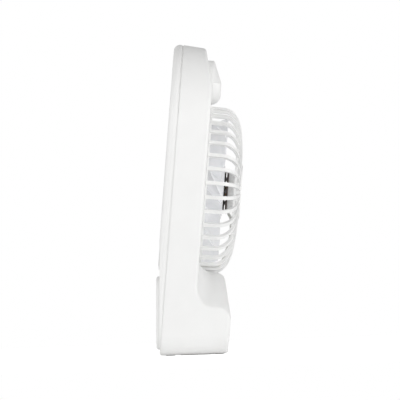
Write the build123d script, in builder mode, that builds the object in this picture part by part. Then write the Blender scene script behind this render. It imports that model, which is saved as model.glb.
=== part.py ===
from build123d import *
from math import cos, pi, radians, sin, sqrt, tan
import os

# Portable desk fan: a slim body that leans back, a round ribbed cage behind it and a deep base.
# X is to the right seen from the front, -Y is the front, +Z is up. Millimetres.
# Inside the body, u is the distance behind the parting line, square to the leaning front,
# v is the height above the fan's axis along the lean, and r is the radius round that axis.

# Body
lean_angle = 6.3
axis_height = 145.0
half_width = 87.0
body_top = 123.8
top_draft = 2.2
top_corner = 67.0
bottom_corner = 17.0
wall = 2.4
band_depth = 27.4
rear_edge = 3.0

# Base
base_depth = 58.3
base_underside = 0.6
shoulder_level = -101.2
neck_level = -69.5
neck_fillet = 13.0
heel_fillet = 10.5

# Front cover
cover_depth = 8.35
cover_wall = 2.2
cover_corner = 40.0
cover_edge = 5.5
gap_width = 1.3
gap_depth = 0.7
bend_level = -47.0
bend_angle = 4.3
duct_radius = 70.0
seat_radius = 67.5

# Cage
cage_radius = 73.0
cage_bore = 71.6
cage_flange = 76.6
cage_ring_inside = 69.2
cage_screw_circle = 74.2
rib_count = 36
rib_width = 3.2
rib_thickness = 2.4

# Motor and impeller
boss_radius = 17.5
boss_front = 47.6
board_radius = 19.7
board_thickness = 1.6
shaft_radius = 1.5
running_gap = 0.05
hub_radius = 21.5
blade_tip = 63.5
blade_count = 7

# Speed knob
knob_radius = 19.2
knob_level = 93.1
knob_rim = 27.8
knob_peak = 35.0

# Screws and leads
screw_shank = 1.45
screw_hole = 1.7
pilot_hole = 1.5
screw_head = 2.8
head_height = 1.6
lead_radius = 1.2

os.makedirs("parts", exist_ok=True)

lean = radians(lean_angle)
up_lean = Vector(0, sin(lean), cos(lean))
rearward = Vector(0, cos(lean), -sin(lean))
seam_foot = Vector(0, -29.0, 1.7)
axis_origin = seam_foot + up_lean * axis_height
fan_plane = Plane(origin=axis_origin, x_dir=(1, 0, 0), z_dir=-rearward)
profile_plane = Plane(origin=axis_origin, x_dir=up_lean, z_dir=(-1, 0, 0))
fan_axis = Axis(axis_origin, rearward)


def station(u):
    """Plane square to the fan's axis, u behind the parting line; its Y is v."""
    return fan_plane.offset(-u)


def point_at(x, v, u):
    """Point of the body at x, v and u."""
    return Vector(x, 0, 0) + axis_origin + up_lean * v + rearward * u


def level_at(u, height):
    """The v of a level plane at the given height, at station u."""
    return (height - axis_origin.Z + u * sin(lean)) / cos(lean)


def rear_slope(v, u, angle):
    """Plane across the body through v and u, facing rearward and up by angle."""
    tilt = radians(angle)
    normal = rearward * cos(tilt) + up_lean * sin(tilt)
    return Plane(origin=point_at(0, v, u), x_dir=(1, 0, 0), z_dir=normal)


def in_body(point):
    """The x, v and u of a point."""
    local = fan_plane.to_local_coords(point)
    return local.X, local.Y, -local.Z


def save(builder, name):
    """Label a finished piece and write it."""
    builder.part.label = name
    export_step(builder.part, f"parts/{name}.step")


def band_section(u, inset, corner):
    """Rounded outline of the body at station u."""
    low = level_at(u, base_underside + inset)
    top = body_top - inset - top_draft * u / band_depth
    with BuildSketch(station(u)) as section:
        with Locations((0, (top + low) / 2)):
            Rectangle(2 * (half_width - inset), top - low)
        fillet(section.vertices().group_by(Axis.Y)[-1], corner)
        fillet(section.vertices().group_by(Axis.Y)[0], bottom_corner - inset)
    return section.sketch


def base_section(u, inset):
    """Outline of the base at station u: level underside and arched top."""
    low = level_at(u, base_underside + inset)
    side = half_width - inset
    shoulder = shoulder_level - inset
    with BuildSketch(station(u)) as section:
        with BuildLine():
            Polyline((-side, shoulder), (-side, low), (side, low), (side, shoulder))
            ThreePointArc((side, shoulder), (0, neck_level - inset), (-side, shoulder))
        make_face()
        fillet(section.vertices().group_by(Axis.Y)[0], bottom_corner - inset)
    return section.sketch


def body_volume(inset):
    """Band and base as one solid, inset from the outside by a wall."""
    depth = band_depth - inset
    with BuildPart() as base:
        loft(sections=[base_section(8, inset), base_section(base_depth - inset, inset)], ruled=True)
        split(bisect_by=rear_slope(-107.9, 58.1 - inset, 13.1), keep=Keep.BOTTOM)
        crest = base.edges().filter_by(GeomType.ELLIPSE).sort_by(SortBy.LENGTH)[-1]
        fillet(crest, heel_fillet - inset)
    with BuildPart() as volume:
        loft(sections=[band_section(0, inset, top_corner - inset),
                       band_section(depth, inset, top_corner - inset)], ruled=True)
        split(bisect_by=rear_slope(90.0, depth, 14.0), keep=Keep.BOTTOM)
        add(base.part)
        root = [e for e in volume.edges().filter_by(GeomType.CIRCLE)
                if e.length > 150 and abs(in_body(e @ 0.5)[2] - depth) < 0.05]
        fillet(root, neck_fillet + inset)
    return volume.part


def rear_outline(body):
    """Edges that run round the back of the body, from the base over the shoulders to the top."""
    chosen = []
    for side_wall in body.faces():
        if abs(side_wall.normal_at().X) < 0.999:
            continue
        for edge in side_wall.edges():
            ends = [in_body(edge @ 0), in_body(edge @ 1)]
            low_ends = all(end[1] < -120 for end in ends)
            if min(end[2] for end in ends) > 20 and not low_ends:
                chosen.append(edge)
    for edge in body.edges():
        ends = [in_body(edge @ 0), in_body(edge @ 1)]
        x, v, u = in_body(edge @ 0.5)
        if min(end[2] for end in ends) > 15 and v > 50 and (abs(x) > 20 or v > 118):
            chosen.append(edge)
        if min(end[2] for end in ends) > base_depth - 0.1 and v < -120 and max(ends[0][1], ends[1][1]) < -120:
            chosen.append(edge)
    return chosen


# ---------------------------------------------------------------- rear housing
cover_screw_spots = [(74, 62), (-74, 62), (74, -62), (-74, -62)]
screw_seat = 12.0
bracket_front = 9.5
bracket_spots = [(26, knob_level), (-26, knob_level)]
foot_spots = [(-60, -20.5), (60, -20.5), (-60, 22.0), (60, 22.0)]
foot_radius = 4.0
foot_recess = 1.0
hatch_length = 130.0
hatch_width = 30.0
hatch_centre = 3.0
hatch_lip = 4.0
hatch_thickness = 2.0
hatch_screw_x = 63.0
port_height = 31.2
port_half_width = 6.2
port_half_height = 3.4
lens_x = 15.0
lens_radius = 1.5

with BuildPart() as shell_volume:
    add(body_volume(0))
    fillet(rear_outline(shell_volume.part), rear_edge)
with BuildPart() as cavity_volume:
    add(body_volume(wall))
    with BuildSketch(station(band_depth - wall)):
        Circle(cage_radius + 4.0)
    extrude(amount=-45, mode=Mode.SUBTRACT)

with BuildPart() as rear_housing:
    add(shell_volume.part)
    add(cavity_volume.part, mode=Mode.SUBTRACT)
    # posts for the cover screws and the control bracket stand on the rear wall
    with BuildSketch(station(0.3)):
        with Locations(*cover_screw_spots):
            Circle(5.0)
    extrude(amount=-(band_depth - wall))
    with BuildSketch(station(bracket_front + 1.6)):
        with Locations(*bracket_spots):
            Circle(3.6)
    extrude(amount=-13.6)
    # lip that the base hatch lies against
    with BuildSketch(Plane.XY.offset(base_underside + hatch_thickness)):
        with Locations((0, hatch_centre)):
            Rectangle(hatch_length + 4, hatch_width + 4)
    extrude(amount=2.4)
    # round opening for the cage, and room for it over the neck of the base
    with BuildSketch(station(10)):
        Circle(cage_bore)
    extrude(amount=-30, mode=Mode.SUBTRACT)
    with BuildSketch(station(band_depth)):
        Circle(cage_radius + 1.0)
    extrude(amount=-45, mode=Mode.SUBTRACT)
    # hole that the knob turns in
    with BuildSketch(station(12.5)):
        with Locations((0, knob_level)):
            Circle(knob_radius + 0.4)
    extrude(amount=-30, mode=Mode.SUBTRACT)
    # screw wells, open to the rear
    with BuildSketch(station(screw_seat)):
        with Locations(*cover_screw_spots):
            Circle(screw_head + 0.4)
    extrude(amount=-30, mode=Mode.SUBTRACT)
    with BuildSketch(station(0)):
        with Locations(*cover_screw_spots):
            Circle(screw_hole)
    extrude(amount=-30, mode=Mode.SUBTRACT)
    with BuildSketch(station(bracket_front)):
        with Locations(*bracket_spots):
            Circle(pilot_hole)
    extrude(amount=-9, mode=Mode.SUBTRACT)
    with BuildSketch(station(band_depth - wall - 0.5)):
        with PolarLocations(cage_screw_circle, 6):
            Circle(1.0)
    extrude(amount=-2.2, mode=Mode.SUBTRACT)
    # hatch opening in the underside
    with BuildSketch(Plane.XY.offset(base_underside - 1)):
        with Locations((0, hatch_centre)):
            Rectangle(hatch_length, hatch_width)
    extrude(amount=hatch_thickness + 1, mode=Mode.SUBTRACT)
    with BuildSketch(Plane.XY):
        with Locations((0, hatch_centre)):
            Rectangle(hatch_length - 2 * hatch_lip, hatch_width - 2 * hatch_lip)
        with Locations(*[(sx * hatch_screw_x, hatch_centre + sy * 10) for sx in (-1, 1) for sy in (-1, 1)]):
            Circle(pilot_hole)
    extrude(amount=8, mode=Mode.SUBTRACT)
    # recesses for the feet
    with BuildSketch(Plane.XY.offset(base_underside - 1)):
        with Locations(*foot_spots):
            Circle(foot_radius)
    extrude(amount=1 + foot_recess, mode=Mode.SUBTRACT)
    # charge port and indicator hole in the back of the base
    with BuildSketch(Plane.XZ.offset(-20)):
        with Locations((0, port_height)):
            RectangleRounded(2 * port_half_width, 2 * port_half_height, 3.0)
        with Locations((lens_x, port_height)):
            Circle(lens_radius + 0.05)
    extrude(amount=-20, mode=Mode.SUBTRACT)
save(rear_housing, "rear_housing")

# ---------------------------------------------------------------- front cover
lower_plane = rear_slope(bend_level, -cover_depth, bend_angle)
fascia_half_width = 77.0
# heights on the lower front are measured down from the bend
fascia_top = 31.5
fascia_bottom = 94.5
fascia_pins = [(60, 48), (-60, 48), (60, 74), (-60, 74)]


def cover_volume(inset, front_inset, front_corner):
    """Front half of the body: squarer corners in front than at the parting line."""
    with BuildPart() as volume:
        rear = band_section(0, inset, top_corner - inset)
        low = level_at(-cover_depth, base_underside + 0.7) + front_inset
        with BuildSketch(station(-cover_depth + inset)) as front:
            with Locations((0, (body_top - front_inset + low) / 2)):
                Rectangle(2 * (half_width - front_inset), body_top - front_inset - low)
            fillet(front.vertices().group_by(Axis.Y)[-1], front_corner - front_inset)
            fillet(front.vertices().group_by(Axis.Y)[0], bottom_corner - front_inset)
        loft(sections=[rear, front.sketch], ruled=True)
        if inset == 0:
            front_face = volume.faces().sort_by(fan_axis)[0]
            fillet(front_face.edges(), cover_edge)
        split(bisect_by=lower_plane.offset(inset), keep=Keep.TOP)
    return volume.part


with BuildPart() as gap_frame:
    with BuildSketch(station(-gap_width)):
        Rectangle(2 * half_width + 20, 2 * half_width + 2 * axis_height)
    extrude(amount=-gap_width)
    extrude(to_extrude=band_section(0, gap_depth, top_corner - gap_depth), amount=gap_width, mode=Mode.SUBTRACT)

with BuildPart() as front_cover:
    add(cover_volume(0, 0, cover_corner))
    # shadow gap along the parting line
    add(gap_frame.part, mode=Mode.SUBTRACT)
    add(cover_volume(cover_wall, 3.6, top_corner), mode=Mode.SUBTRACT)
    # duct wall round the opening, and posts for the cover screws
    with BuildSketch(station(-cover_depth + 1)):
        Circle(duct_radius + 2.2)
    extrude(amount=-(cover_depth - 2))
    with BuildSketch(station(-cover_depth + 1.5)):
        with Locations(*cover_screw_spots):
            Circle(4.2)
    extrude(amount=-(cover_depth - 1.5))
    with BuildSketch(station(-cover_depth - 1)):
        Circle(duct_radius)
    extrude(amount=-(cover_depth - 1.5), mode=Mode.SUBTRACT)
    with BuildSketch(station(-4)):
        Circle(seat_radius)
    extrude(amount=-6, mode=Mode.SUBTRACT)
    with BuildSketch(station(-cover_depth + 2.4)):
        with Locations(*cover_screw_spots):
            Circle(pilot_hole)
    extrude(amount=-cover_depth, mode=Mode.SUBTRACT)
    with BuildSketch(lower_plane.offset(-1)):
        with Locations(*fascia_pins):
            Circle(1.6)
    extrude(amount=8, mode=Mode.SUBTRACT)
save(front_cover, "front_cover")

# ---------------------------------------------------------------- lower fascia
fascia_thickness = 2.8
with BuildPart() as lower_fascia:
    with BuildSketch(lower_plane):
        with Locations((0, (fascia_top + fascia_bottom) / 2)):
            RectangleRounded(2 * fascia_half_width, fascia_bottom - fascia_top, 12.0)
    extrude(amount=-fascia_thickness)
    fillet(lower_fascia.faces().sort_by(Axis.Y)[0].edges(), 2.0)
    with BuildSketch(lower_plane):
        with Locations(*fascia_pins):
            Circle(1.5)
    extrude(amount=2.0)
save(lower_fascia, "lower_fascia")

# ---------------------------------------------------------------- front grille
grille_front = -7.9
grille_back = -2.6
vane_count = 44
with BuildSketch() as vane:
    with BuildLine():
        ThreePointArc((17, 0), (44, 13), (61.5, 31))
    trace(line_width=1.5)
with BuildPart() as front_grille:
    with BuildSketch(station(grille_front)):
        Circle(duct_radius - 0.3)
        Circle(duct_radius - 2.4, mode=Mode.SUBTRACT)
    extrude(amount=-(grille_back - grille_front))
    with BuildSketch(station(grille_front + 0.4)):
        for ring in (34.0, 51.0):
            Circle(ring + 0.8)
            Circle(ring - 0.8, mode=Mode.SUBTRACT)
    extrude(amount=-2.6)
    with BuildSketch(station(grille_front + 0.2)):
        with PolarLocations(0, vane_count):
            add(vane.sketch)
        Circle(18)
    extrude(amount=-3.2)
save(front_grille, "front_grille")

# ---------------------------------------------------------------- rear cage
hub_disc = 24.0
cage_rear = 59.2
dome = [(cage_radius, 27.6), (72.3, 38.5), (71.3, 44.2), (67.6, 49.2), (60.5, 53.5), (49, 56.3), (33, 57.9),
        (22, 58.5)]


def inside_of(points, thickness):
    """The same line moved inward, for the inner face of a rib."""
    moved = []
    for i, (r, u) in enumerate(points):
        r0, u0 = points[max(i - 1, 0)]
        r1, u1 = points[min(i + 1, len(points) - 1)]
        length = sqrt((r1 - r0) ** 2 + (u1 - u0) ** 2)
        moved.append((r - thickness * (u1 - u0) / length, u + thickness * (r1 - r0) / length))
    return moved


with BuildPart() as cage_rib:
    # drawn with the fan's axis as Z, pointing forward
    with BuildSketch(Plane.XZ):
        with BuildLine():
            outer = [(r, -u) for r, u in dome]
            inner = [(r, -u) for r, u in inside_of(dome, rib_thickness)]
            Spline(*outer)
            Line(outer[-1], inner[-1])
            Spline(*reversed(inner))
            Line(inner[0], outer[0])
        make_face()
    extrude(amount=rib_width / 2, both=True)
    # narrower towards the middle of the rear face
    with BuildSketch(Plane.XY.offset(-70)):
        Polygon((20, -1.0), (75, -rib_width / 2), (75, rib_width / 2), (20, 1.0), align=None)
    extrude(amount=60, mode=Mode.INTERSECT)

with BuildPart() as rear_cage:
    with Locations(fan_plane):
        with PolarLocations(0, rib_count, start_angle=180 / rib_count):
            add(cage_rib.part)
    # flange behind the rear wall of the housing, and the ring that the ribs stand on
    with BuildSketch(station(22.6)):
        Circle(cage_flange)
        Circle(cage_ring_inside, mode=Mode.SUBTRACT)
    extrude(amount=-2.3)
    with BuildSketch(station(22.6)):
        Circle(cage_bore - 0.3)
        Circle(cage_ring_inside, mode=Mode.SUBTRACT)
    extrude(amount=-6.6)
    # hoops that tie the ribs together
    with BuildSketch(profile_plane):
        with Locations((52.0, 53.6)):
            Rectangle(2.4, 2.0)
        with Locations((34.0, 55.9)):
            Rectangle(2.4, 2.0)
    revolve(axis=fan_axis)
    # motor seat and the disc that the ribs run into
    with BuildSketch(profile_plane):
        with BuildLine():
            Polyline((0, boss_front), (boss_radius, boss_front), (boss_radius, 56), (hub_disc, 56), (hub_disc, 58.2))
            RadiusArc((hub_disc, 58.2), (hub_disc - 1, cage_rear), 1, short_sagitta=True)
            Polyline((hub_disc - 1, cage_rear), (0, cage_rear), (0, boss_front))
        make_face()
    revolve(axis=fan_axis)
    with BuildSketch(station(boss_front)):
        Circle(4.25)
        with PolarLocations(12, 3):
            Circle(1.05)
    extrude(amount=-7, mode=Mode.SUBTRACT)
    with BuildSketch(station(20)):
        with Locations((0, knob_level)):
            Circle(knob_radius + 0.8)
    extrude(amount=-7.4, mode=Mode.SUBTRACT)
    with BuildSketch(station(20)):
        with PolarLocations(cage_screw_circle, 6):
            Circle(1.1)
    extrude(amount=-5.4, mode=Mode.SUBTRACT)
save(rear_cage, "rear_cage")

# ---------------------------------------------------------------- motor
with BuildPart() as bearing_tube:
    with BuildSketch(station(31.0)):
        Circle(4.2)
        Circle(3.05, mode=Mode.SUBTRACT)
    extrude(amount=-(boss_front + 6.5 - 31.0))
save(bearing_tube, "bearing_tube")

with BuildPart() as bearing_front:
    with BuildSketch(station(31.2)):
        Circle(3.0)
        Circle(shaft_radius + running_gap, mode=Mode.SUBTRACT)
    extrude(amount=-3.0)
save(bearing_front, "bearing_front")

with BuildPart() as bearing_rear:
    with BuildSketch(station(47.0)):
        Circle(3.0)
        Circle(shaft_radius + running_gap, mode=Mode.SUBTRACT)
    extrude(amount=-3.0)
save(bearing_rear, "bearing_rear")

with BuildPart() as motor_shaft:
    with BuildSketch(station(9.0)):
        Circle(shaft_radius)
    extrude(amount=-42.4)
    chamfer(motor_shaft.edges().filter_by(GeomType.CIRCLE), 0.3)
    with BuildSketch(station(50.4)):
        Circle(shaft_radius + 1)
        Circle(1.1, mode=Mode.SUBTRACT)
    extrude(amount=-0.5, mode=Mode.SUBTRACT)
save(motor_shaft, "motor_shaft")

with BuildPart() as shaft_clip:
    with BuildSketch(station(50.42)):
        Circle(2.6)
        Circle(1.12, mode=Mode.SUBTRACT)
        with Locations((2, 0)):
            Rectangle(4, 1.6, mode=Mode.SUBTRACT)
    extrude(amount=-0.45)
save(shaft_clip, "shaft_clip")

pole_count = 9
core_front = 34.0
core_depth = 8.0
with BuildPart() as stator_core:
    with BuildSketch(station(core_front)):
        Circle(15.8)
        Circle(14.2, mode=Mode.SUBTRACT)
        Circle(8.0)
        with PolarLocations(11.1, pole_count):
            Rectangle(7.2, 2.4)
        with PolarLocations(15.2, pole_count, start_angle=180 / pole_count):
            Rectangle(3.4, 1.6, mode=Mode.SUBTRACT)
        Circle(4.25, mode=Mode.SUBTRACT)
    extrude(amount=-core_depth)
save(stator_core, "stator_core")

with BuildPart() as stator_coils:
    with Locations(station(core_front + core_depth / 2)):
        with PolarLocations(11.3, pole_count):
            Box(4.2, 4.4, core_depth + 3.6)
            Box(8.0, 2.44, core_depth + 0.04, mode=Mode.SUBTRACT)
save(stator_coils, "stator_coils")

with BuildPart() as motor_board:
    with BuildSketch(station(boss_front - board_thickness)):
        Circle(board_radius)
        Circle(4.3, mode=Mode.SUBTRACT)
        with PolarLocations(12, 3):
            Circle(1.15, mode=Mode.SUBTRACT)
    extrude(amount=-board_thickness)
save(motor_board, "motor_board")

with BuildPart() as motor_screws:
    with BuildSketch(station(boss_front - board_thickness - 0.9)):
        with PolarLocations(12, 3):
            Circle(1.8)
    extrude(amount=-0.9)
    with BuildSketch(station(boss_front - board_thickness)):
        with PolarLocations(12, 3):
            Circle(1.0)
    extrude(amount=-7)
save(motor_screws, "motor_screws")

with BuildPart() as rotor_yoke:
    with BuildSketch(profile_plane):
        with BuildLine():
            Polyline((shaft_radius, 24.0), (4.0, 24.0), (4.0, 26.2), (19.7, 26.2), (19.7, 45.3), (18.6, 45.3),
                     (18.6, 27.4), (3.2, 27.4), (3.2, 30.0), (shaft_radius, 30.0), close=True)
        make_face()
    revolve(axis=fan_axis)
save(rotor_yoke, "rotor_yoke")

with BuildPart() as rotor_magnet:
    with BuildSketch(station(31.0)):
        Circle(18.6)
        Circle(16.6, mode=Mode.SUBTRACT)
    extrude(amount=-13.0)
save(rotor_magnet, "rotor_magnet")

# ---------------------------------------------------------------- impeller
# each blade is lofted through flat sections: radius, chord, pitch, sweep, thickness
blade_stations = [(20.0, 26.0, 48.0, 0.0, 2.2), (40.0, 38.0, 38.0, 6.0, 1.8), (blade_tip, 46.0, 30.0, 14.0, 1.4)]
blade_middle = 31.5


def blade_section(radius, chord, pitch, sweep, thickness):
    """Rounded flat section of a blade, square to the radius."""
    turn = radians(sweep)
    outward = Vector(cos(turn), sin(turn), 0)
    around = Vector(-sin(turn), cos(turn), 0)
    tilt = radians(pitch)
    along = around * cos(tilt) + Vector(0, 0, 1) * sin(tilt)
    plane = Plane(origin=outward * radius - Vector(0, 0, blade_middle), x_dir=along, z_dir=outward)
    with BuildSketch(plane) as section:
        SlotOverall(chord, thickness)
    return section.sketch


with BuildPart() as blade:
    loft(sections=[blade_section(*values) for values in blade_stations])

with BuildPart() as blade_ring:
    with Locations(fan_plane):
        with PolarLocations(0, blade_count):
            add(blade.part)
    with BuildSketch(station(0)):
        Circle(blade_tip)
    extrude(amount=-60, mode=Mode.INTERSECT)

with BuildPart() as impeller:
    add(blade_ring.part)
    with BuildSketch(station(13.0)):
        Circle(19.9)
    extrude(amount=-32, mode=Mode.SUBTRACT)
    with BuildSketch(profile_plane):
        with BuildLine():
            Polyline((shaft_radius, 13.2), (6.5, 13.2), (6.5, 12.2), (14.0, 12.2))
            RadiusArc((14.0, 12.2), (hub_radius, 19.7), -7.5)
            Polyline((hub_radius, 19.7), (hub_radius, 43.8), (19.9, 43.8), (19.9, 19.7))
            RadiusArc((19.9, 19.7), (14.0, 13.8), 5.9)
            Polyline((14.0, 13.8), (5.0, 13.8), (5.0, 23.8), (shaft_radius, 23.8), (shaft_radius, 13.2))
        make_face()
    revolve(axis=fan_axis)
save(impeller, "impeller")

cap_radius = 6.3
with BuildPart() as impeller_cap:
    with BuildSketch(station(7.6)):
        Circle(cap_radius)
    extrude(amount=-5.4)
    fillet(impeller_cap.faces().sort_by(fan_axis)[0].edges(), 2.6)
    with BuildSketch(station(9.0)):
        Circle(shaft_radius)
    extrude(amount=-6, mode=Mode.SUBTRACT)
save(impeller_cap, "impeller_cap")

# ---------------------------------------------------------------- speed knob and control
knob_plane = Plane(origin=point_at(0, knob_level, 0), x_dir=(1, 0, 0), z_dir=-rearward)
knob_profile = Plane(origin=point_at(0, knob_level, 0), x_dir=up_lean, z_dir=(-1, 0, 0))
knob_axis = Axis(point_at(0, knob_level, 0), rearward)
skirt_front = 18.0
control_front = 2.6
control_depth = 6.9
shaft_end = 26.0

with BuildPart() as knob_shell:
    # skirt and low cone all round
    with BuildSketch(knob_profile):
        with BuildLine():
            Polyline((0, 26.4), (knob_radius - 2.2, 23.4), (knob_radius - 2.2, skirt_front),
                     (knob_radius, skirt_front), (knob_radius, knob_rim - 0.8), (knob_radius - 0.8, knob_rim),
                     (0, knob_peak), close=True)
        make_face()
    revolve(axis=knob_axis)
with BuildPart() as knob_grip:
    # half-moon grip on the lower half
    with BuildSketch(knob_profile):
        with BuildLine():
            Polyline((0, knob_peak), (0, 27.0), (knob_radius, 27.0))
            ThreePointArc((knob_radius, 27.0), (16.6, 32.6), (10.5, knob_peak))
            Line((10.5, knob_peak), (0, knob_peak))
        make_face()
    revolve(axis=knob_axis)
    split(bisect_by=Plane(origin=point_at(0, knob_level, 0), x_dir=(1, 0, 0), z_dir=up_lean), keep=Keep.BOTTOM)
with BuildPart() as speed_knob:
    add(knob_shell.part)
    add(knob_grip.part)
    with BuildSketch(knob_plane.offset(-15.4)):
        Circle(4.8)
    extrude(amount=-12.0)
    with BuildSketch(knob_plane.offset(-15.0)):
        Circle(3.0)
    extrude(amount=-(shaft_end - 15.0), mode=Mode.SUBTRACT)
save(speed_knob, "speed_knob")

with BuildPart() as control_shaft:
    with BuildSketch(knob_plane.offset(-4.0)):
        Circle(3.0)
    extrude(amount=-(shaft_end - 4.0))
    chamfer(control_shaft.faces().sort_by(knob_axis)[-1].edges(), 0.4)
save(control_shaft, "control_shaft")

with BuildPart() as speed_control:
    with BuildSketch(knob_plane.offset(-control_front)):
        Circle(8.5)
        with Locations((0, -9)):
            Rectangle(10, 6)
    extrude(amount=-control_depth)
    with BuildSketch(knob_plane.offset(-(control_front + control_depth))):
        Circle(3.6)
    extrude(amount=-5.2)
    with BuildSketch(knob_plane.offset(-3.95)):
        Circle(3.0 + running_gap)
    extrude(amount=-20, mode=Mode.SUBTRACT)
save(speed_control, "speed_control")

bracket_thickness = 1.6
with BuildPart() as control_bracket:
    with BuildSketch(knob_plane.offset(-bracket_front)):
        RectangleRounded(62, 24, 4)
        Circle(3.7, mode=Mode.SUBTRACT)
        with Locations((26, 0), (-26, 0)):
            Circle(screw_hole, mode=Mode.SUBTRACT)
    extrude(amount=-bracket_thickness)
save(control_bracket, "control_bracket")

with BuildPart() as control_nut:
    with BuildSketch(knob_plane.offset(-(bracket_front + bracket_thickness))):
        RegularPolygon(5.6, 6)
        Circle(3.6, mode=Mode.SUBTRACT)
    extrude(amount=-2.0)
save(control_nut, "control_nut")

# ---------------------------------------------------------------- front and rear fixings


def screw_group(places, seat, length, toward_front):
    """Pan-head screws whose heads rest at seat; they point forward or rearward."""
    way = 1 if toward_front else -1
    with BuildPart() as group:
        with BuildSketch(station(seat)):
            with Locations(*places):
                Circle(screw_head)
        extrude(amount=-way * head_height)
        with BuildSketch(station(seat)):
            with Locations(*places):
                Circle(screw_shank)
        extrude(amount=way * length)
        with BuildSketch(station(seat + way * head_height)):
            with Locations(*places):
                Rectangle(3.0, 0.7)
                Rectangle(0.7, 3.0)
        extrude(amount=way * 0.9, mode=Mode.SUBTRACT)
    return group


cover_screws = screw_group(cover_screw_spots, screw_seat, 16.0, True)
save(cover_screws, "cover_screws")
bracket_screws = screw_group(bracket_spots, bracket_front, 8.0, False)
save(bracket_screws, "bracket_screws")

with BuildPart() as cage_screws:
    with BuildSketch(station(22.6)):
        with PolarLocations(cage_screw_circle, 6):
            Circle(1.7)
    extrude(amount=1.2)
    with BuildSketch(station(22.6)):
        with PolarLocations(cage_screw_circle, 6):
            Circle(1.0)
    extrude(amount=-3.9)
save(cage_screws, "cage_screws")

# ---------------------------------------------------------------- base: hatch, feet, battery, board
with BuildPart() as base_cover:
    # the plate stands as proud of the underside as the feet, so the fan rests on both
    with BuildSketch(Plane.XY):
        with Locations((0, hatch_centre)):
            RectangleRounded(hatch_length - 0.5, hatch_width - 0.5, 1.5)
        with Locations(*[(sx * hatch_screw_x, hatch_centre + sy * 10) for sx in (-1, 1) for sy in (-1, 1)]):
            Circle(1.5, mode=Mode.SUBTRACT)
    extrude(amount=base_underside + hatch_thickness)
    with BuildSketch(Plane.XY):
        with Locations(*[(sx * hatch_screw_x, hatch_centre + sy * 10) for sx in (-1, 1) for sy in (-1, 1)]):
            Circle(2.0)
    extrude(amount=base_underside + 1.0, mode=Mode.SUBTRACT)
save(base_cover, "base_cover")

with BuildPart() as base_screws:
    with BuildSketch(Plane.XY.offset(base_underside)):
        with Locations(*[(sx * hatch_screw_x, hatch_centre + sy * 10) for sx in (-1, 1) for sy in (-1, 1)]):
            Circle(1.95)
    extrude(amount=1.0)
    with BuildSketch(Plane.XY.offset(base_underside + 1.0)):
        with Locations(*[(sx * hatch_screw_x, hatch_centre + sy * 10) for sx in (-1, 1) for sy in (-1, 1)]):
            Circle(screw_shank)
    extrude(amount=3.6)
save(base_screws, "base_screws")

with BuildPart() as rubber_feet:
    with BuildSketch():
        with Locations(*foot_spots):
            Circle(foot_radius - 0.05)
    extrude(amount=base_underside + foot_recess)
save(rubber_feet, "rubber_feet")

cell_radius = 9.15
cell_length = 65.0
cell_height = 15.4
cell_rows = [-6.6, 12.6]
tray_floor = 5.0
tray_top = 18.0
tray_half_length = 37.0
tray_end = 2.4
contact_top = 19.8
board_height = 28.0
board_half_length = 47.0
board_front = -21.5
board_back = 20.0
board_posts = [(-34.0, -10.5), (34.0, -10.5), (-34.0, 17.0), (34.0, 17.0)]

with BuildPart() as battery_cells:
    for row in cell_rows:
        with BuildSketch(Plane.YZ.offset(-cell_length / 2)):
            with Locations((row, cell_height)):
                Circle(cell_radius)
        extrude(amount=cell_length - 1.5)
        with BuildSketch(Plane.YZ.offset(cell_length / 2 - 1.5)):
            with Locations((row, cell_height)):
                Circle(3.0)
        extrude(amount=1.5)
save(battery_cells, "battery_cells")

with BuildPart() as battery_tray:
    with BuildSketch(Plane.XY.offset(tray_floor)):
        with Locations((0, hatch_centre)):
            Rectangle(2 * tray_half_length, 41.0)
    extrude(amount=tray_top - tray_floor)
    for row in cell_rows:
        with BuildSketch(Plane.YZ.offset(-(tray_half_length - tray_end))):
            with Locations((row, cell_height)):
                Circle(cell_radius + 0.2)
            with Locations((row, cell_height + 10)):
                Rectangle(2 * cell_radius + 0.4, 20)
        extrude(amount=2 * (tray_half_length - tray_end), mode=Mode.SUBTRACT)
    for x, y in board_posts:
        with BuildSketch(Plane.XY.offset(tray_floor)):
            with Locations((x + (3 if x > 0 else -3), y)):
                Rectangle(4.8, 5)
        extrude(amount=board_height - tray_floor)
save(battery_tray, "battery_tray")

with BuildPart() as battery_contacts:
    for side in (-1, 1):
        with BuildSketch(Plane.YZ.offset(side * (tray_half_length - tray_end - 0.35))):
            with Locations(*[(row, contact_top - 4.7) for row in cell_rows]):
                Rectangle(9.0, 9.4)
            with Locations((hatch_centre, contact_top - 0.8)):
                Rectangle(12.0, 1.6)
        extrude(amount=0.3, both=True)
        with BuildSketch(Plane.YZ.offset(side * (tray_half_length - tray_end - 0.6))):
            with Locations(*[(row, cell_height) for row in cell_rows]):
                Circle(2.4)
        extrude(amount=-side * 1.2)
save(battery_contacts, "battery_contacts")

board_screw_spots = [(x + (3 if x > 0 else -3), y) for x, y in board_posts]
with BuildPart() as main_board:
    with BuildSketch(Plane.XY.offset(board_height)):
        with Locations((0, (board_front + board_back) / 2)):
            Rectangle(2 * board_half_length, board_back - board_front)
        with Locations((0, board_back + 4)):
            Rectangle(40, 9)
    extrude(amount=board_thickness)
    with BuildSketch(Plane.XY.offset(board_height + board_thickness)):
        with Locations((-22, -2), (20, -4)):
            Rectangle(9, 9)
        with Locations((4, 2)):
            Rectangle(6, 10)
    extrude(amount=1.6)
save(main_board, "main_board")

with BuildPart() as board_screws:
    with BuildSketch(Plane.XY.offset(board_height + board_thickness)):
        with Locations(*board_screw_spots):
            Circle(2.0)
    extrude(amount=1.2)
save(board_screws, "board_screws")

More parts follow.
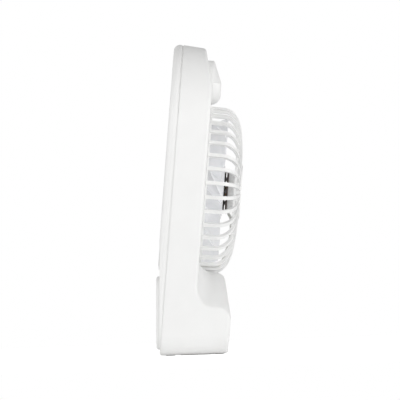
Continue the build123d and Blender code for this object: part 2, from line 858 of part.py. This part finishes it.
inlet_back = 23.0
inlet_mouth = 30.2
with BuildPart() as charge_inlet:
    with BuildSketch(Plane.XZ.offset(-inlet_back)):
        with Locations((0, port_height)):
            RectangleRounded(8.94, 3.16, 1.4)
    extrude(amount=-(inlet_mouth - inlet_back))
    with BuildSketch(Plane.XZ.offset(-(inlet_back + 1.2))):
        with Locations((0, port_height)):
            RectangleRounded(8.34, 2.56, 1.2)
            Rectangle(6.7, 0.7, mode=Mode.SUBTRACT)
    extrude(amount=-10, mode=Mode.SUBTRACT)
save(charge_inlet, "charge_inlet")

with BuildPart() as indicator_lens:
    with BuildSketch(Plane.XZ.offset(-24.0)):
        with Locations((lens_x, port_height)):
            Circle(lens_radius)
    extrude(amount=-8.6)
save(indicator_lens, "indicator_lens")

# ---------------------------------------------------------------- leads inside the body


def lead(points, radius, plane):
    """Round lead along straight runs joined by tangent arcs, each as large as its runs allow."""
    corners = [Vector(*point) for point in points]
    radii = []
    for before, corner, after in zip(corners, corners[1:], corners[2:]):
        turn = radians((corner - before).get_angle(after - corner))
        shorter = min((corner - before).length, (after - corner).length)
        radii.append(0.45 * shorter / tan(turn / 2))
    with BuildPart() as tube:
        with BuildLine(plane) as route:
            FilletPolyline(*points, radius=radii)
        path = route.wire()
        with BuildSketch(Plane(origin=path @ 0, z_dir=path % 0)):
            Circle(radius)
        sweep(path=path)
    print("lead of", round(path.length, 1), "mm, tightest radius", round(min(radii), 1),
          "volume over section times length", round(tube.part.volume / (pi * radius ** 2 * path.length), 3))
    return tube


# from the motor board under a rib, through the cage's ring and down to the main board
motor_lead = lead([(-18.8, 49.0), (-23.0, 52.0), (-38.0, 53.2), (-52.0, 50.2), (-61.0, 47.6), (-66.0, 43.6),
                   (-67.4, 36.0), (-67.3, 20.0), (-78.0, 12.5), (-96.0, 14.0), (-114.8, 17.5)], lead_radius, profile_plane)
save(motor_lead, "motor_lead")

# from the speed control, down one side of the duct to the main board
control_lead = lead([(5.0, 79.8), (14.0, 78.4), (38.0, 82.0), (61.0, 64.0), (77.5, 34.0), (78.0, -6.0),
                     (75.0, -38.0), (66.0, -66.0), (59.0, -92.0), (44.5, -115.4)], lead_radius, station(6.5))
save(control_lead, "control_lead")

battery_lead_radius = 0.8
with BuildPart() as battery_leads:
    for side in (-1, 1):
        start = side * (tray_half_length - tray_end - 0.35)
        end = side * (tray_half_length - tray_end - 3.4)
        with BuildLine(Plane.XZ.offset(-hatch_centre)) as route:
            FilletPolyline((start, contact_top), (start, contact_top + 3.4), (end, contact_top + 5.6),
                           (end, board_height), radius=1.6)
        path = route.wire()
        with BuildSketch(Plane(origin=path @ 0, z_dir=path % 0)):
            Circle(battery_lead_radius)
        sweep(path=path)
save(battery_leads, "battery_leads")
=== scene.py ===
import math
import bmesh
import bpy
from mathutils import Matrix, Vector


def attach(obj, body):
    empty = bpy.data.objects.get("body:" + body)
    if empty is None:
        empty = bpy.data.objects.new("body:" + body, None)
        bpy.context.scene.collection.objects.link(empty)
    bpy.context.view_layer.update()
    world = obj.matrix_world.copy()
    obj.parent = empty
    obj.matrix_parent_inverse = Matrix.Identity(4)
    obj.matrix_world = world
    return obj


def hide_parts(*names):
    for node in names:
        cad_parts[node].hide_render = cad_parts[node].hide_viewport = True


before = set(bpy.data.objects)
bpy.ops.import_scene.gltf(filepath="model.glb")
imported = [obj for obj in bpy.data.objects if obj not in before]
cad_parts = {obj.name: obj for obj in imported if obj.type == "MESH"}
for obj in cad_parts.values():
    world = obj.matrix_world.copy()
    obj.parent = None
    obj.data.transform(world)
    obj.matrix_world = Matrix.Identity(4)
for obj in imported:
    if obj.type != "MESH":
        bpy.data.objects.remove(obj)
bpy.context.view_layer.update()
print("frame loaded:", len(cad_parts), "nodes")

scene = bpy.context.scene
mm = 0.001


def linear(hexColour):
    # sRGB hex to the linear values that shader sockets take
    parts = [int(hexColour[i:i + 2], 16) / 255 for i in (1, 3, 5)]
    return tuple(c / 12.92 if c <= 0.04045 else ((c + 0.055) / 1.055) ** 2.4 for c in parts) + (1.0,)


def addNode(tree, kind, settings, links):
    # "stops" fills a colour ramp, a capital means an input socket, and the rest are the node's own properties
    node = tree.nodes.new(kind)
    for key, value in settings.items():
        if key == "stops":
            for element, (position, hexColour) in zip(node.color_ramp.elements, value):
                element.position = position
                element.color = linear(hexColour)
        elif key[0].isupper():
            node.inputs[key].default_value = value
        else:
            setattr(node, key, value)
    for key, (source, output) in links.items():
        tree.links.new(source.outputs[output], node.inputs[key])
    return node


def newMaterial(name):
    material = bpy.data.materials.new(name)
    material.use_nodes = True
    tree = material.node_tree
    tree.nodes.clear()
    return material, tree


# ABS from a spark-eroded mould: an even satin with a fine grain that softens every highlight
mouldedAbs = {
    "ABS moulded shell": {"light": "#F5F5F4", "dark": "#F3F3F2", "grain": 0.45, "depth": 0.010,
                          "rough": (0.40, 0.50), "cloud": 22.0},
    "ABS moulded fascia": {"light": "#F3F3F2", "dark": "#F1F1F0", "grain": 0.40, "depth": 0.008,
                           "rough": (0.36, 0.44), "cloud": 18.0},
    "ABS moulded ribs": {"light": "#F8F8F7", "dark": "#F5F5F4", "grain": 0.40, "depth": 0.008,
                         "rough": (0.38, 0.46), "cloud": 12.0},
    "ABS moulded knob": {"light": "#F5F5F4", "dark": "#F2F2F1", "grain": 0.35, "depth": 0.007,
                         "rough": (0.34, 0.42), "cloud": 9.0},
}


def mouldAbs(name):
    spec = mouldedAbs[name]
    material, tree = newMaterial(name)
    place = addNode(tree, "ShaderNodeTexCoord", {}, {})
    # slow drift of tone across the moulding, where the melt cooled at different rates
    cloud = addNode(tree, "ShaderNodeTexNoise",
                    {"Scale": 1 / (spec["cloud"] * mm), "Detail": 2.0, "Roughness": 0.5},
                    {"Vector": (place, "Object")})
    tone = addNode(tree, "ShaderNodeValToRGB", {"stops": [(0.35, spec["dark"]), (0.65, spec["light"])]},
                   {"Fac": (cloud, "Fac")})
    # eroded grain, drawn three to four times coarser than a usual 0.12 mm so that it shows
    grain = addNode(tree, "ShaderNodeTexVoronoi", {"Scale": 1 / (spec["grain"] * mm), "feature": "SMOOTH_F1",
                                                  "Smoothness": 0.6}, {"Vector": (place, "Object")})
    polish = addNode(tree, "ShaderNodeMapRange", {"From Min": 0.3, "From Max": 0.7,
                                                  "To Min": spec["rough"][0], "To Max": spec["rough"][1]},
                     {"Value": (cloud, "Fac")})
    bump = addNode(tree, "ShaderNodeBump", {"Strength": 0.35, "Distance": spec["depth"] * mm},
                   {"Height": (grain, "Distance")})
    body = addNode(tree, "ShaderNodeBsdfPrincipled", {"IOR": 1.53, "Specular IOR Level": 0.45},
                   {"Base Color": (tone, "Color"), "Roughness": (polish, "Result"),
                    "Normal": (bump, "Normal")})
    addNode(tree, "ShaderNodeOutputMaterial", {}, {"Surface": (body, "BSDF")})
    return material


# smoked polycarbonate, see-through enough that a blade behind shows as a darker band
# the real plastic doesn't glow: the glow stands in for light that doesn't reach far enough into the cage
blades = {"tint": "#F8F8F9", "deep": "#EFF0F2", "rough": 0.22, "see": 0.30, "glow": 0.14, "flow": 9.0,
          "ripple": 1.1, "depth": 0.02}


def mouldBlades(name):
    material, tree = newMaterial(name)
    place = addNode(tree, "ShaderNodeTexCoord", {}, {})
    flow = addNode(tree, "ShaderNodeTexNoise",
                   {"Scale": 1 / (blades["flow"] * mm), "Detail": 3.0, "Distortion": 0.6},
                   {"Vector": (place, "Object")})
    tint = addNode(tree, "ShaderNodeValToRGB", {"stops": [(0.3, blades["deep"]), (0.7, blades["tint"])]},
                   {"Fac": (flow, "Fac")})
    ripple = addNode(tree, "ShaderNodeTexNoise", {"Scale": 1 / (blades["ripple"] * mm), "Detail": 1.0},
                     {"Vector": (place, "Object")})
    bump = addNode(tree, "ShaderNodeBump", {"Strength": 0.2, "Distance": blades["depth"] * mm},
                   {"Height": (ripple, "Fac")})
    body = addNode(tree, "ShaderNodeBsdfPrincipled", {"IOR": 1.58, "Roughness": blades["rough"],
                                                      "Transmission Weight": blades["see"],
                                                      "Emission Strength": blades["glow"]},
                   {"Base Color": (tint, "Color"), "Normal": (bump, "Normal"),
                    "Emission Color": (tint, "Color")})
    addNode(tree, "ShaderNodeOutputMaterial", {}, {"Surface": (body, "BSDF")})
    return material


# metals: specks from plating, oxide or sintering, stretched into a lay where the metal was rolled or wound
metals = {
    "steel zinc plated": {"light": "#C9CACC", "dark": "#A6A8AB",
                          "rough": (0.24, 0.42), "speck": 1.6, "stretch": 1.0},
    "steel black oxide": {"light": "#4A4644", "dark": "#2C2928",
                          "rough": (0.38, 0.55), "speck": 2.4, "stretch": 1.0},
    "electrical steel laminated": {"light": "#8E9094", "dark": "#55575B",
                                   "rough": (0.35, 0.5), "speck": 0.5, "stretch": 14.0},
    "steel pressed": {"light": "#B4B6B9", "dark": "#94969A",
                      "rough": (0.3, 0.48), "speck": 1.2, "stretch": 5.0},
    "bronze sintered": {"light": "#C79A55", "dark": "#8C6A38",
                        "rough": (0.4, 0.6), "speck": 0.35, "stretch": 1.0},
    "copper wire enamelled": {"light": "#C8713C", "dark": "#8A4524",
                              "rough": (0.22, 0.36), "speck": 0.4, "stretch": 18.0},
    "ferrite bonded": {"light": "#3E3D40", "dark": "#242426",
                       "rough": (0.5, 0.7), "speck": 0.5, "stretch": 1.0},
}


def finishMetal(name):
    spec = metals[name]
    material, tree = newMaterial(name)
    place = addNode(tree, "ShaderNodeTexCoord", {}, {})
    lay = addNode(tree, "ShaderNodeMapping", {"Scale": (1.0 / spec["stretch"], 1.0, 1.0)},
                  {"Vector": (place, "Object")})
    speck = addNode(tree, "ShaderNodeTexNoise",
                    {"Scale": 1 / (spec["speck"] * mm), "Detail": 4.0, "Roughness": 0.6},
                    {"Vector": (lay, "Vector")})
    tone = addNode(tree, "ShaderNodeValToRGB", {"stops": [(0.32, spec["dark"]), (0.62, spec["light"])]},
                   {"Fac": (speck, "Fac")})
    polish = addNode(tree, "ShaderNodeMapRange", {"From Min": 0.3, "From Max": 0.7,
                                                  "To Min": spec["rough"][0], "To Max": spec["rough"][1]},
                     {"Value": (speck, "Fac")})
    bump = addNode(tree, "ShaderNodeBump", {"Strength": 0.25, "Distance": 0.02 * mm},
                   {"Height": (speck, "Fac")})
    body = addNode(tree, "ShaderNodeBsdfPrincipled", {"Metallic": 1.0},
                   {"Base Color": (tone, "Color"), "Roughness": (polish, "Result"),
                    "Normal": (bump, "Normal")})
    addNode(tree, "ShaderNodeOutputMaterial", {}, {"Surface": (body, "BSDF")})
    return material


# boards, wire jackets, rubber and the rest of the inside
coated = {
    "glass epoxy brown": {"light": "#4C3D39", "dark": "#362A27", "weave": 0.6, "rough": 0.42},
    "glass epoxy green": {"light": "#1F6B43", "dark": "#12492C", "weave": 0.6, "rough": 0.35},
    "rubber moulded": {"light": "#D6D6D3", "dark": "#C4C4C1", "weave": 0.8, "rough": 0.78},
    "PET shrink wrap": {"light": "#3C7FB0", "dark": "#2C6A9A", "weave": 6.0, "rough": 0.22},
    "nylon moulded black": {"light": "#26272A", "dark": "#17181A", "weave": 1.2, "rough": 0.5},
    "PVC wire jacket": {"light": "#E9E9E4", "dark": "#DADAD4", "weave": 2.0, "rough": 0.45},
}


def coatPart(name):
    spec = coated[name]
    material, tree = newMaterial(name)
    place = addNode(tree, "ShaderNodeTexCoord", {}, {})
    # two crossed wave fields read as cloth in the boards, and as a faint ripple on the others
    warp = addNode(tree, "ShaderNodeTexWave", {"Scale": 0.314 / (spec["weave"] * mm), "bands_direction": "X",
                                               "Distortion": 1.5}, {"Vector": (place, "Object")})
    weft = addNode(tree, "ShaderNodeTexWave", {"Scale": 0.314 / (spec["weave"] * mm), "bands_direction": "Z",
                                               "Distortion": 1.5}, {"Vector": (place, "Object")})
    cloth = addNode(tree, "ShaderNodeMath", {"operation": "MULTIPLY"}, {0: (warp, "Fac"), 1: (weft, "Fac")})
    tone = addNode(tree, "ShaderNodeValToRGB", {"stops": [(0.1, spec["dark"]), (0.8, spec["light"])]},
                   {"Fac": (cloth, "Value")})
    bump = addNode(tree, "ShaderNodeBump", {"Strength": 0.2, "Distance": 0.015 * mm},
                   {"Height": (cloth, "Value")})
    body = addNode(tree, "ShaderNodeBsdfPrincipled", {"Roughness": spec["rough"], "IOR": 1.5},
                   {"Base Color": (tone, "Color"), "Normal": (bump, "Normal")})
    addNode(tree, "ShaderNodeOutputMaterial", {}, {"Surface": (body, "BSDF")})
    return material


# light pipe of clear acrylic, slightly hazed by its own grain
lightPipe = {"light": "#F2F6F1", "dark": "#DFE6E0", "haze": 0.8, "depth": 0.01, "rough": 0.18, "see": 0.7}


def castLens(name):
    material, tree = newMaterial(name)
    place = addNode(tree, "ShaderNodeTexCoord", {}, {})
    haze = addNode(tree, "ShaderNodeTexNoise", {"Scale": 1 / (lightPipe["haze"] * mm), "Detail": 2.0},
                   {"Vector": (place, "Object")})
    tone = addNode(tree, "ShaderNodeValToRGB",
                   {"stops": [(0.3, lightPipe["dark"]), (0.7, lightPipe["light"])]},
                   {"Fac": (haze, "Fac")})
    bump = addNode(tree, "ShaderNodeBump", {"Strength": 0.15, "Distance": lightPipe["depth"] * mm},
                   {"Height": (haze, "Fac")})
    body = addNode(tree, "ShaderNodeBsdfPrincipled", {"IOR": 1.49, "Roughness": lightPipe["rough"],
                                                      "Transmission Weight": lightPipe["see"]},
                   {"Base Color": (tone, "Color"), "Normal": (bump, "Normal")})
    addNode(tree, "ShaderNodeOutputMaterial", {}, {"Surface": (body, "BSDF")})
    return material


shellAbs = mouldAbs("ABS moulded shell")
fasciaAbs = mouldAbs("ABS moulded fascia")
ribAbs = mouldAbs("ABS moulded ribs")
knobAbs = mouldAbs("ABS moulded knob")
bladePc = mouldBlades("polycarbonate smoked")
zincSteel = finishMetal("steel zinc plated")
darkSteel = finishMetal("steel black oxide")
coreSteel = finishMetal("electrical steel laminated")
pressedSteel = finishMetal("steel pressed")
bronze = finishMetal("bronze sintered")
copperWire = finishMetal("copper wire enamelled")
ferrite = finishMetal("ferrite bonded")
brownBoard = coatPart("glass epoxy brown")
greenBoard = coatPart("glass epoxy green")
paleRubber = coatPart("rubber moulded")
cellWrap = coatPart("PET shrink wrap")
blackNylon = coatPart("nylon moulded black")
wireJacket = coatPart("PVC wire jacket")
clearAcrylic = castLens("acrylic clear")
print("finishes made:", len(bpy.data.materials))

# finish of each part that keeps its own mesh
finishes = {
    "base_cover": shellAbs, "impeller_cap": knobAbs, "motor_board": brownBoard, "rotor_yoke": darkSteel,
    "rotor_magnet": ferrite, "motor_shaft": zincSteel, "shaft_clip": zincSteel, "bearing_front": bronze,
    "bearing_rear": bronze, "bearing_tube": bronze, "stator_core": coreSteel, "stator_coils": copperWire,
    "motor_screws": zincSteel, "speed_control": pressedSteel, "control_shaft": zincSteel,
    "control_nut": zincSteel, "control_bracket": pressedSteel, "cover_screws": zincSteel,
    "cage_screws": zincSteel, "bracket_screws": zincSteel, "base_screws": zincSteel,
    "board_screws": zincSteel, "rubber_feet": paleRubber, "battery_cells": cellWrap,
    "battery_tray": blackNylon, "battery_contacts": zincSteel, "main_board": greenBoard,
    "charge_inlet": zincSteel, "indicator_lens": clearAcrylic, "motor_lead": wireJacket,
    "control_lead": wireJacket, "battery_leads": wireJacket,
}
for node, finish in finishes.items():
    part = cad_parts[node]
    part.data.materials.clear()
    part.data.materials.append(finish)

# outer mouldings: each takes the frame's shape, joined into one skin and shaded smooth across its radii
mouldings = {
    "housing_shell": {"node": "rear_housing", "body": "body", "slot": "white_shell",
                      "finish": shellAbs, "crease": 32},
    "front_shell": {"node": "front_cover", "body": "body", "slot": "white_shell",
                    "finish": shellAbs, "crease": 32},
    "fascia_panel": {"node": "lower_fascia", "body": "body", "slot": "white_fascia",
                     "finish": fasciaAbs, "crease": 32},
    "spiral_guard": {"node": "front_grille", "body": "body", "slot": "white_grille",
                     "finish": ribAbs, "crease": 32},
    "rib_cage": {"node": "rear_cage", "body": "body", "slot": "white_grille",
                 "finish": ribAbs, "crease": 32},
    "knob_cap": {"node": "speed_knob", "body": "knob", "slot": "white_knob",
                 "finish": knobAbs, "crease": 25},
    "blade_wheel": {"node": "impeller", "body": "rotor", "slot": "smoke_blade",
                    "finish": bladePc, "crease": 38},
}

weld = {"merge": 0.01, "sliver": 0.001, "weight": 80}


def skinMoulding(name):
    spec = mouldings[name]
    mesh = bpy.data.meshes.new(name)
    bm = bmesh.new()
    bm.from_mesh(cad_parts[spec["node"]].data)
    bmesh.ops.remove_doubles(bm, verts=bm.verts, dist=weld["merge"] * mm)
    bmesh.ops.dissolve_degenerate(bm, edges=bm.edges, dist=weld["sliver"] * mm)
    crease = math.radians(spec["crease"])
    for face in bm.faces:
        face.smooth = True
    for edge in bm.edges:
        edge.smooth = len(edge.link_faces) == 2 and edge.calc_face_angle(0.0) < crease
    bm.to_mesh(mesh)
    bm.free()
    mesh.materials.append(spec["finish"])
    piece = bpy.data.objects.new(name, mesh)
    scene.collection.objects.link(piece)
    weigh = piece.modifiers.new("even radii", "WEIGHTED_NORMAL")
    weigh.weight = weld["weight"]
    weigh.keep_sharp = True
    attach(piece, spec["body"])
    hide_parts(spec["node"])
    return piece


for name in mouldings:
    skinMoulding(name)
print("mouldings skinned:", len(mouldings))

# floor, light and camera
stage = {"floorHalf": 1.1, "floorTone": "#FBFBFB", "floorDeep": "#F8F8F8", "fibre": 6.0, "floorLift": 0.8,
         "floorBounce": 0.1, "distance": 14.0, "frameWidth": 0.348, "roll": 2.0,
         "aim": (0.0, 0.00974, 0.13397), "sensor": 36.0, "clip": (0.1, 60.0)}

bm = bmesh.new()
bmesh.ops.create_grid(bm, x_segments=1, y_segments=1, size=stage["floorHalf"])
floorMesh = bpy.data.meshes.new("floor")
bm.to_mesh(floorMesh)
bm.free()
floor = bpy.data.objects.new("floor", floorMesh)
floorPaper, tree = newMaterial("paper sweep")
place = addNode(tree, "ShaderNodeTexCoord", {}, {})
fibre = addNode(tree, "ShaderNodeTexNoise", {"Scale": 1 / (stage["fibre"] * mm), "Detail": 2.0},
                {"Vector": (place, "Object")})
tone = addNode(tree, "ShaderNodeValToRGB", {"stops": [(0.3, stage["floorDeep"]), (0.7, stage["floorTone"])]},
               {"Fac": (fibre, "Fac")})
# the floor looks whiter than the light that it gives back
path = addNode(tree, "ShaderNodeLightPath", {}, {})
lift = addNode(tree, "ShaderNodeMapRange", {"To Min": stage["floorBounce"], "To Max": stage["floorLift"]},
               {"Value": (path, "Is Camera Ray")})
paper = addNode(tree, "ShaderNodeBsdfPrincipled", {"Roughness": 0.9, "Specular IOR Level": 0.1,
                                                  "Emission Color": (1.0, 1.0, 1.0, 1.0)},
                {"Base Color": (tone, "Color"), "Emission Strength": (lift, "Result")})
addNode(tree, "ShaderNodeOutputMaterial", {}, {"Surface": (paper, "BSDF")})
floorMesh.materials.append(floorPaper)
scene.collection.objects.link(floor)

# white room, dimmer overhead and on the far side; the camera itself sees plain white
room = {"near": 1.0, "far": 0.6, "overhead": 0.80, "level": 0.72}
world = bpy.data.worlds.new("white room")
scene.world = world
world.use_nodes = True
tree = world.node_tree
tree.nodes.clear()
where = addNode(tree, "ShaderNodeTexCoord", {}, {})
split = addNode(tree, "ShaderNodeSeparateXYZ", {}, {"Vector": (where, "Generated")})
side = addNode(tree, "ShaderNodeMapRange", {"From Min": -0.12, "From Max": 0.12, "To Min": room["far"],
                                            "To Max": room["near"]}, {"Value": (split, "X")})
height = addNode(tree, "ShaderNodeMapRange", {"From Min": 0.6, "From Max": 0.95, "To Min": 1.0,
                                              "To Max": room["overhead"]}, {"Value": (split, "Z")})
total = addNode(tree, "ShaderNodeMath", {"operation": "MULTIPLY"},
                {0: (side, "Result"), 1: (height, "Result")})
seen = addNode(tree, "ShaderNodeLightPath", {}, {})
light = addNode(tree, "ShaderNodeBackground", {"Strength": room["level"]}, {"Color": (total, "Value")})
backdrop = addNode(tree, "ShaderNodeBackground", {"Color": (1.0, 1.0, 1.0, 1.0)}, {})
choice = addNode(tree, "ShaderNodeMixShader", {}, {0: (seen, "Is Camera Ray"), 1: (light, "Background"),
                                                   2: (backdrop, "Background")})
addNode(tree, "ShaderNodeOutputWorld", {}, {"Surface": (choice, "Shader")})

# broad panels at table height: the rear and side ones reach between the ribs, the front one lights the face
panels = {"front panel": {"at": (0.9, -1.6, 0.3), "size": 0.9, "watts": 8.0},
          "rear panel": {"at": (0.9, 1.6, 0.2), "size": 0.9, "watts": 12.0},
          "side panel": {"at": (2.2, 0.3, 0.3), "size": 0.6, "watts": 2.8}}
for name, spec in panels.items():
    light = bpy.data.lights.new(name, "AREA")
    light.shape = "SQUARE"
    light.size = spec["size"]
    light.energy = spec["watts"]
    lamp = bpy.data.objects.new(name, light)
    lamp.location = spec["at"]
    lamp.rotation_euler = (Vector(stage["aim"]) - Vector(spec["at"])).to_track_quat("-Z", "Y").to_euler()
    scene.collection.objects.link(lamp)

lens = bpy.data.cameras.new("camera")
lens.sensor_width = stage["sensor"]
lens.lens = stage["sensor"] * stage["distance"] / stage["frameWidth"]
lens.clip_start, lens.clip_end = stage["clip"]
camera = bpy.data.objects.new("camera", lens)
aim = Vector(stage["aim"])
level = Vector((-1.0, 0.0, 0.0)).to_track_quat("-Z", "Y").to_matrix().to_4x4()
roll = Matrix.Rotation(math.radians(-stage["roll"]), 4, "Z")
camera.matrix_world = Matrix.Translation(aim + Vector((stage["distance"], 0.0, 0.0))) @ level @ roll
scene.collection.objects.link(camera)
scene.camera = camera
scene.view_settings.view_transform = "Standard"
print("stage set")
